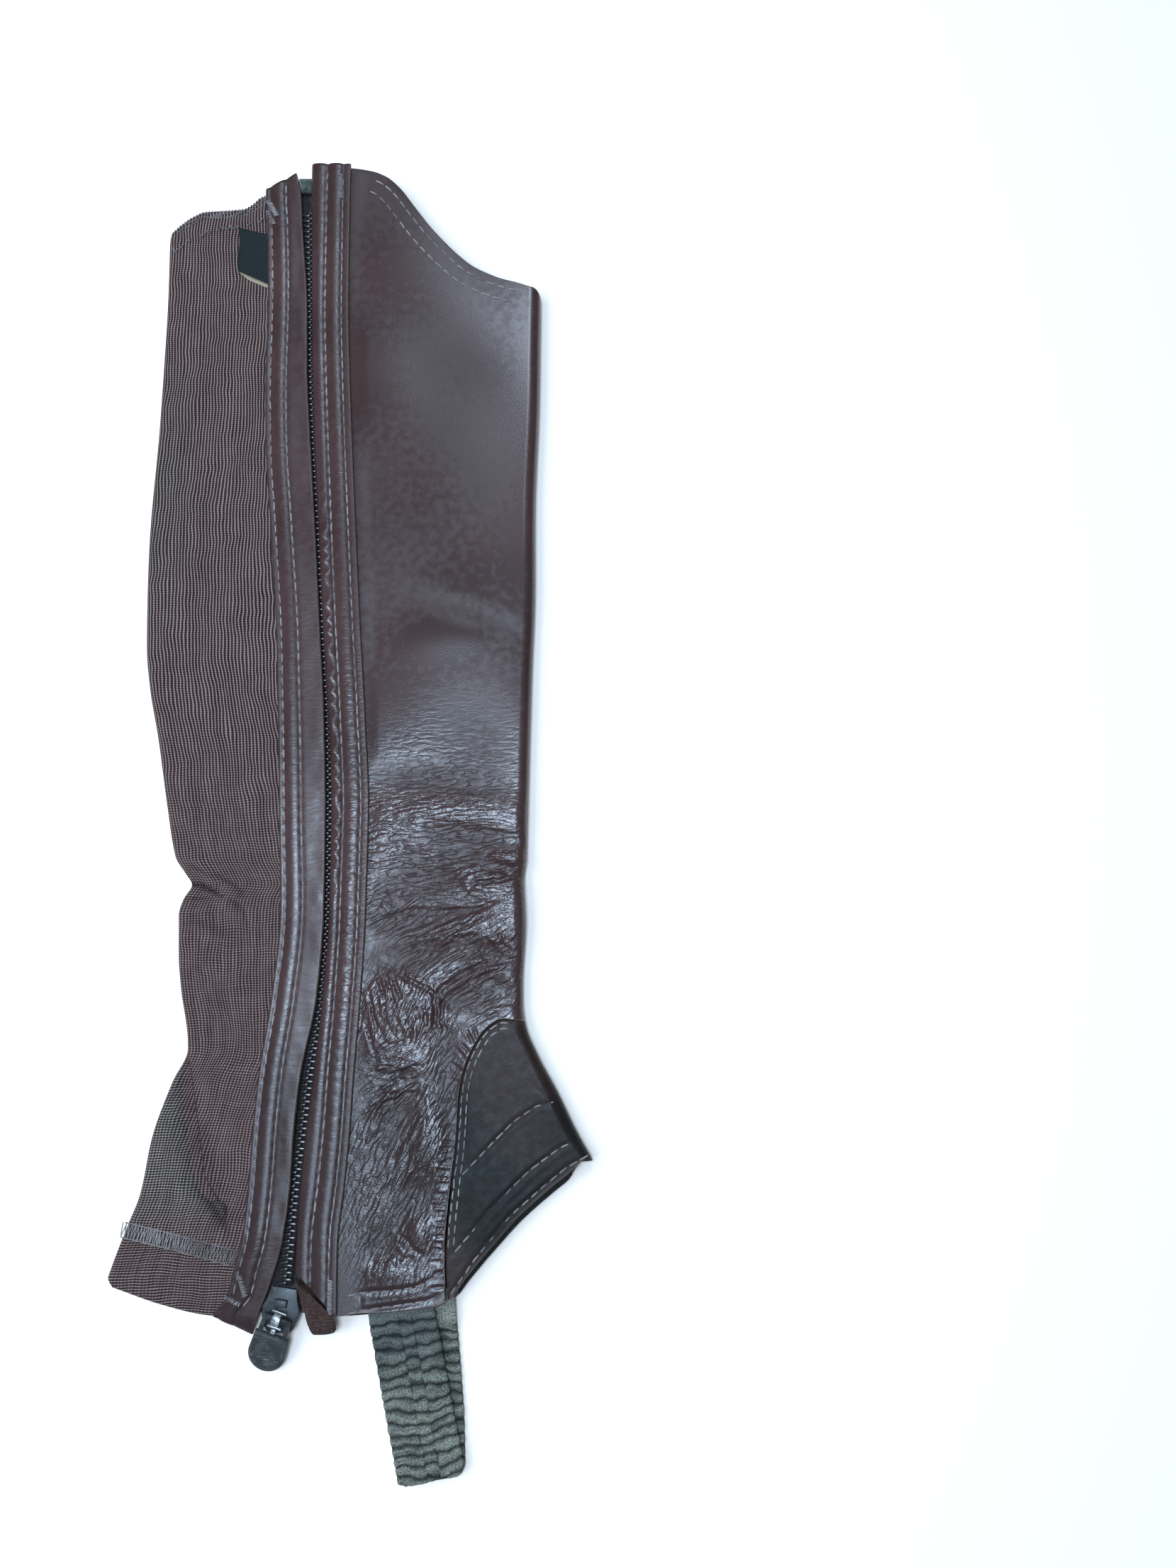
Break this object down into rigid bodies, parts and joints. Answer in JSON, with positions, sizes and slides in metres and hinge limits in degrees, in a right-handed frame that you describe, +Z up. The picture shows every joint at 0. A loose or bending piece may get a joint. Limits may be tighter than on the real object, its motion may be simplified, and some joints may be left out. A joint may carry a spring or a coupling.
{
  "type": "half chap",
  "caption": "Leather and stretch-knit half chap lying flat, with a side zip, instep cap and gathered strap under the foot; the zip's pull tab hinges.",
  "frame": {"origin": "middle of the outline, on the surface that the chap lies on", "axes": "+Z up, away from the surface; +X towards the shin fold; +Y towards the knee end"},
  "size_m": [0.1848, 0.5356, 0.0106],
  "materials": {
    "panel_leather": "semi-gloss dark brown grain, creased and worn",
    "cap_leather": "dull dark brown, rubbed",
    "band_leather": "glossy dark brown strip with raw edges",
    "suede": "rough reddish flesh side",
    "stretch_knit": "matt ribbed stretch knit",
    "lining": "matt dark backing",
    "zip_tape": "matt woven tape",
    "zip_teeth": "black coil",
    "zip_metal": "gunmetal, worn bright at the edges",
    "tab_rubber": "scuffed dark grey",
    "label_cloth": "blank woven charcoal",
    "strap_elastic": "gathered, dusty grey-green",
    "thread": "worn grey-brown sewing thread"
  },
  "bodies": {
    "chap": {"leather_panel": "panel_leather", "instep_cap": "cap_leather", "cap_lining": "lining", "calf_knit": "stretch_knit", "zip_band_left": "band_leather", "zip_band_right": "band_leather", "zip_tape_left": "zip_tape", "zip_tape_right": "zip_tape", "zip_chain": "zip_teeth", "zip_box": "zip_metal", "zip_slider": "zip_metal", "zip_flap_end": "suede", "side_label": "label_cloth", "foot_strap": "strap_elastic"},
    "pull": {"pull_tab": "tab_rubber"}
  },
  "joints": [
    {"name": "pull_tab_hinge", "type": "hinge", "parent": "chap", "child": "pull", "pos_m": [-0.02507, -0.2074, 0.0079], "axis": [-0.9483, 0.3173, 0], "range_deg": [0, 165]}
  ]
}
